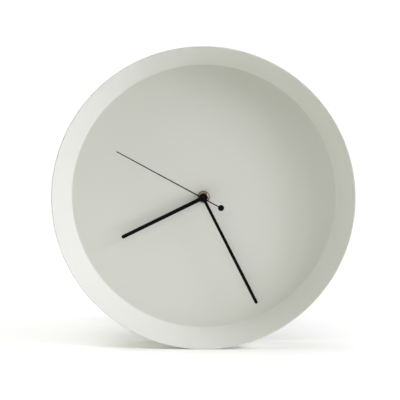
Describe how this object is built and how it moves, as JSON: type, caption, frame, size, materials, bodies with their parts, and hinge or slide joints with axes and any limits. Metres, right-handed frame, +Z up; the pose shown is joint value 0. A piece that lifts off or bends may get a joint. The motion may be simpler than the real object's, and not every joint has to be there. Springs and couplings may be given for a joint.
{
  "type": "wall clock",
  "caption": "Round wall clock: a deep flared metal bowl with a plain recessed dial, slim black hands, a hidden quartz movement and a rear hanger bracket.",
  "frame": {"origin": "on the wall plane, at the top of the hanger bracket's slot, where the nail or hook carries the clock; the hand axis is 37 mm below it", "axes": "+Z up, +Y into the wall along the hand axis, so the dial faces -Y; +X to the right of someone reading the clock. A positive turn of a hand about +Y is clockwise on the dial."},
  "size_m": [0.3, 0.046, 0.3],
  "materials": {
    "powder_coat": "matt warm grey-white powder coat with a very fine grain",
    "black_enamel": "matt black enamel",
    "brass": "turned brass, slightly dulled",
    "black_rubber": "matt moulded rubber",
    "zinc_steel": "zinc-plated sheet, fine brushing",
    "black_plastic": "spark-textured black moulding",
    "white_plastic": "natural acetal moulding",
    "circuit_board": "green solder mask",
    "black_resin": "cast epoxy",
    "copper_wire": "enamelled fine wire",
    "magnet": "dark sintered magnet",
    "battery_jacket": "satin printed jacket, plain"
  },
  "bodies": {
    "case": {"dial_bowl": "powder_coat", "case_band": "powder_coat", "wall_ring": "powder_coat", "rubber_gasket": "black_rubber", "brass_washer": "brass", "centre_nut": "brass", "threaded_bush": "brass", "hanger_bracket": "zinc_steel", "movement_front_case": "black_plastic", "movement_back_cover": "black_plastic", "gear_bridge": "white_plastic", "circuit_board": "circuit_board", "driver_chip": "black_resin", "quartz_crystal": "zinc_steel", "stator_plate": "zinc_steel", "coil_bobbin": "white_plastic", "coil_winding": "copper_wire", "battery_contact_plus": "zinc_steel", "battery_contact_minus": "zinc_steel"},
    "seconds": {"second_hand": "black_enamel", "second_wheel": "white_plastic"},
    "third": {"third_wheel": "white_plastic"},
    "intermediate": {"intermediate_wheel": "white_plastic"},
    "rotor": {"rotor_pinion": "white_plastic", "rotor_magnet": "magnet"},
    "minute_drive": {"minute_wheel": "white_plastic"},
    "minutes": {"minute_hand": "black_enamel", "cannon_pinion": "zinc_steel"},
    "reverse": {"reverse_wheel": "white_plastic"},
    "hours": {"hour_hand": "black_enamel", "hour_wheel": "zinc_steel"},
    "knob": {"setting_knob": "black_plastic"},
    "cell": {"battery": "battery_jacket"}
  },
  "joints": [
    {"name": "second_hand_turn", "type": "hinge", "parent": "case", "child": "seconds", "pos_m": [0, -0.02, -0.037], "axis": [0, 1, 0], "continuous": true},
    {"name": "third_wheel_turn", "type": "hinge", "parent": "case", "child": "third", "pos_m": [-0.0051, -0.02, -0.02817], "axis": [0, 1, 0], "continuous": true},
    {"name": "intermediate_wheel_turn", "type": "hinge", "parent": "case", "child": "intermediate", "pos_m": [-0.00504, -0.02, -0.04573], "axis": [0, 1, 0], "continuous": true},
    {"name": "rotor_turn", "type": "hinge", "parent": "case", "child": "rotor", "pos_m": [-0.01176, -0.02, -0.04573], "axis": [0, 1, 0], "continuous": true},
    {"name": "minute_wheel_turn", "type": "hinge", "parent": "case", "child": "minute_drive", "pos_m": [0, -0.02, -0.037], "axis": [0, 1, 0], "continuous": true},
    {"name": "minute_hand_turn", "type": "hinge", "parent": "case", "child": "minutes", "pos_m": [0, -0.02, -0.037], "axis": [0, 1, 0], "continuous": true},
    {"name": "reverse_wheel_turn", "type": "hinge", "parent": "case", "child": "reverse", "pos_m": [0.008, -0.02, -0.037], "axis": [0, 1, 0], "continuous": true},
    {"name": "hour_hand_turn", "type": "hinge", "parent": "case", "child": "hours", "pos_m": [0, -0.02, -0.037], "axis": [0, 1, 0], "continuous": true},
    {"name": "setting_knob_turn", "type": "hinge", "parent": "case", "child": "knob", "pos_m": [0.01527, -0.02, -0.0328], "axis": [0, 1, 0], "continuous": true},
    {"name": "battery_slide", "type": "slide", "parent": "case", "child": "cell", "axis": [0, 1, 0], "range_m": [0, 0.018]}
  ],
  "couplings": [
    {"joint": "third_wheel_turn", "follows": "second_hand_turn", "ratio": -0.125},
    {"joint": "intermediate_wheel_turn", "follows": "second_hand_turn", "ratio": -5},
    {"joint": "rotor_turn", "follows": "second_hand_turn", "ratio": 30},
    {"joint": "minute_wheel_turn", "follows": "second_hand_turn", "ratio": 0.016667},
    {"joint": "reverse_wheel_turn", "follows": "minute_hand_turn", "ratio": -0.33333},
    {"joint": "hour_hand_turn", "follows": "minute_hand_turn", "ratio": 0.083333},
    {"joint": "setting_knob_turn", "follows": "minute_hand_turn", "ratio": 0.83333}
  ]
}
